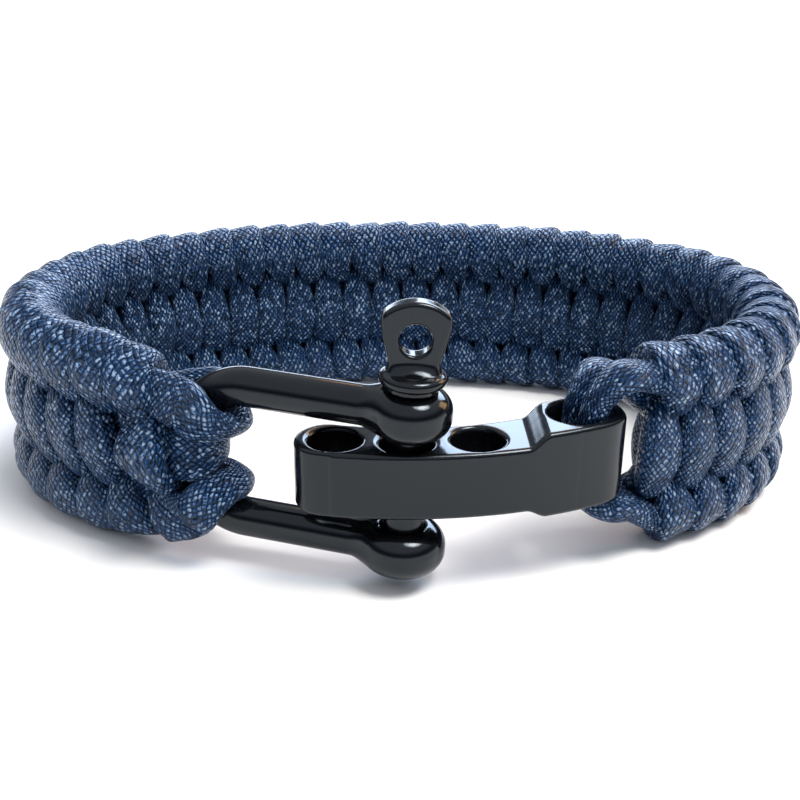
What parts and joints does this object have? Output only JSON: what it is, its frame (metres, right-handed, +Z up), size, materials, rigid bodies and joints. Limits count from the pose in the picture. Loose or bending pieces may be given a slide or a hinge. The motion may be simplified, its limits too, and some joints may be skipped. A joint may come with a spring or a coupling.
{
  "type": "paracord bracelet",
  "caption": "Wide woven cord bracelet, a closed oval loop joined in front by a bow shackle with a flat-headed screw pin through a holed adjuster bar.",
  "frame": {"origin": "middle of the bracelet's outline, at the level of the lower edge that it lies on", "axes": "+Z up along the axis of the loop, +X along the longest side towards the adjuster's end of the band, -Y towards the shackle and the pin"},
  "size_m": [0.0924, 0.061, 0.0301],
  "materials": {
    "navy_cord": "matt braided nylon",
    "gloss_black_steel": "gloss black coat"
  },
  "bodies": {
    "bracelet": {"woven_band": "navy_cord", "upper_shackle_loop": "navy_cord", "middle_shackle_loop": "navy_cord", "lower_shackle_loop": "navy_cord", "outer_adjuster_loop": "navy_cord", "inner_adjuster_loop": "navy_cord", "shackle": "gloss_black_steel", "adjuster_bar": "gloss_black_steel"},
    "pin": {"shackle_pin": "gloss_black_steel"}
  },
  "joints": [
    {"name": "pin_turn", "type": "hinge", "parent": "bracelet", "child": "pin", "pos_m": [0, -0.02608, 0.01138], "axis": [0.0471, 0, 0.9989], "range_deg": [0, 270]}
  ]
}
